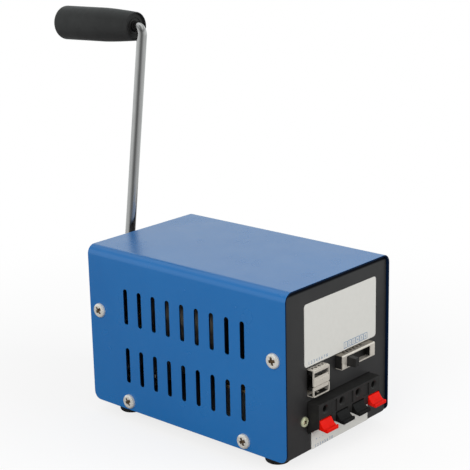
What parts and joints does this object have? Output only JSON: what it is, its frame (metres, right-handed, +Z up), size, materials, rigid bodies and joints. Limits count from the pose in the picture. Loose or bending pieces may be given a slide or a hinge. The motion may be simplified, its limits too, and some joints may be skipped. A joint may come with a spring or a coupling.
{
  "type": "hand crank generator",
  "caption": "Blue vented metal case with a bent hand crank at the back that drives a geared generator; sockets, slide switch and spring terminals in front.",
  "frame": {"origin": "centre of the bounding box, at the height of the floor under the feet", "axes": "-Y out of the front panel, +Y along the crank shaft to the grip, +Z up, +X to the right seen from the front"},
  "size_m": [0.1014, 0.2592, 0.241],
  "materials": {
    "blue_paint": "satin",
    "dark_paint": "satin",
    "zinc_screw": "satin",
    "foot_rubber": "matte",
    "label_film": "matte",
    "nickel": "satin",
    "black_plastic": "satin",
    "red_plastic": "satin",
    "grip_plastic": "matte",
    "rod_steel": "satin",
    "gear_steel": "satin",
    "gear_brass": "satin",
    "gear_plate": "satin",
    "can_steel": "satin",
    "board": "satin",
    "nylon": "matte",
    "contact_metal": "polished",
    "capacitor_sleeve": "satin",
    "ferrite": "matte"
  },
  "bodies": {
    "case": {"cover": "blue_paint", "chassis": "dark_paint", "cover_screws": "zinc_screw", "feet": "foot_rubber", "foot_screws": "zinc_screw", "front_label": "label_film", "terminal_label": "label_film", "usb_shell": "nickel", "usb_core": "black_plastic", "usb_contacts": "contact_metal", "switch_frame": "nickel", "switch_base": "black_plastic", "switch_pins": "contact_metal", "terminal_body": "black_plastic", "terminal_clips": "contact_metal", "terminal_screws": "zinc_screw", "idler_arbor": "gear_steel", "gearbox_rear_plate": "gear_plate", "gearbox_front_plate": "gear_plate", "gearbox_pillars": "gear_steel", "gearbox_spacers": "gear_steel", "gearbox_screws": "zinc_screw", "generator_can": "can_steel", "generator_end_cap": "black_plastic", "brush_tags": "contact_metal", "can_screws": "zinc_screw", "circuit_board": "board", "board_standoffs": "nylon", "capacitors": "capacitor_sleeve", "inductor": "ferrite", "heat_sink": "gear_plate", "regulator": "black_plastic"},
    "crank": {"crank_rod": "rod_steel", "crank_shaft": "gear_steel", "crank_collar": "gear_steel", "collar_screw": "zinc_screw", "grip_ring": "gear_steel", "first_wheel": "gear_brass"},
    "grip": {"grip": "grip_plastic", "grip_bush": "black_plastic"},
    "idler": {"idler_pinion": "gear_steel", "idler_wheel": "gear_brass"},
    "rotor": {"rotor_pinion": "gear_brass", "rotor_shaft": "gear_steel"},
    "knob": {"switch_knob": "black_plastic"},
    "lever_1": {"terminal_lever_1": "red_plastic"},
    "lever_2": {"terminal_lever_2": "black_plastic"},
    "lever_3": {"terminal_lever_3": "black_plastic"},
    "lever_4": {"terminal_lever_4": "red_plastic"}
  },
  "joints": [
    {"name": "crank_spin", "type": "hinge", "parent": "case", "child": "crank", "pos_m": [0, 0.05638, 0.0567], "axis": [0, 1, 0], "continuous": true},
    {"name": "grip_spin", "type": "hinge", "parent": "crank", "child": "grip", "pos_m": [0.02443, 0.05638, 0.231], "axis": [-0.0036, 0.9997, -0.0259], "continuous": true},
    {"name": "idler_spin", "type": "hinge", "parent": "case", "child": "idler", "pos_m": [-0.03, 0.00908, 0.0567], "axis": [0, 1, 0], "continuous": true},
    {"name": "rotor_spin", "type": "hinge", "parent": "case", "child": "rotor", "pos_m": [-0.01309, 0.00908, 0.06286], "axis": [0, 1, 0], "continuous": true},
    {"name": "switch_slide", "type": "slide", "parent": "case", "child": "knob", "axis": [1, 0, 0], "range_m": [0, 0.0177]},
    {"name": "lever_1_press", "type": "hinge", "parent": "case", "child": "lever_1", "pos_m": [-0.02145, -0.11927, 0.0255], "axis": [1, 0, 0], "range_deg": [0, 18], "stiffness_Nm_per_rad": 0.05, "springref_deg": -17.19},
    {"name": "lever_2_press", "type": "hinge", "parent": "case", "child": "lever_2", "pos_m": [-0.00605, -0.11927, 0.0255], "axis": [1, 0, 0], "range_deg": [0, 18], "stiffness_Nm_per_rad": 0.05, "springref_deg": -17.19},
    {"name": "lever_3_press", "type": "hinge", "parent": "case", "child": "lever_3", "pos_m": [0.00935, -0.11927, 0.0255], "axis": [1, 0, 0], "range_deg": [0, 18], "stiffness_Nm_per_rad": 0.05, "springref_deg": -17.19},
    {"name": "lever_4_press", "type": "hinge", "parent": "case", "child": "lever_4", "pos_m": [0.02475, -0.11927, 0.0255], "axis": [1, 0, 0], "range_deg": [0, 18], "stiffness_Nm_per_rad": 0.05, "springref_deg": -17.19}
  ],
  "couplings": [
    {"joint": "idler_spin", "follows": "crank_spin", "ratio": -4},
    {"joint": "rotor_spin", "follows": "crank_spin", "ratio": 12}
  ]
}
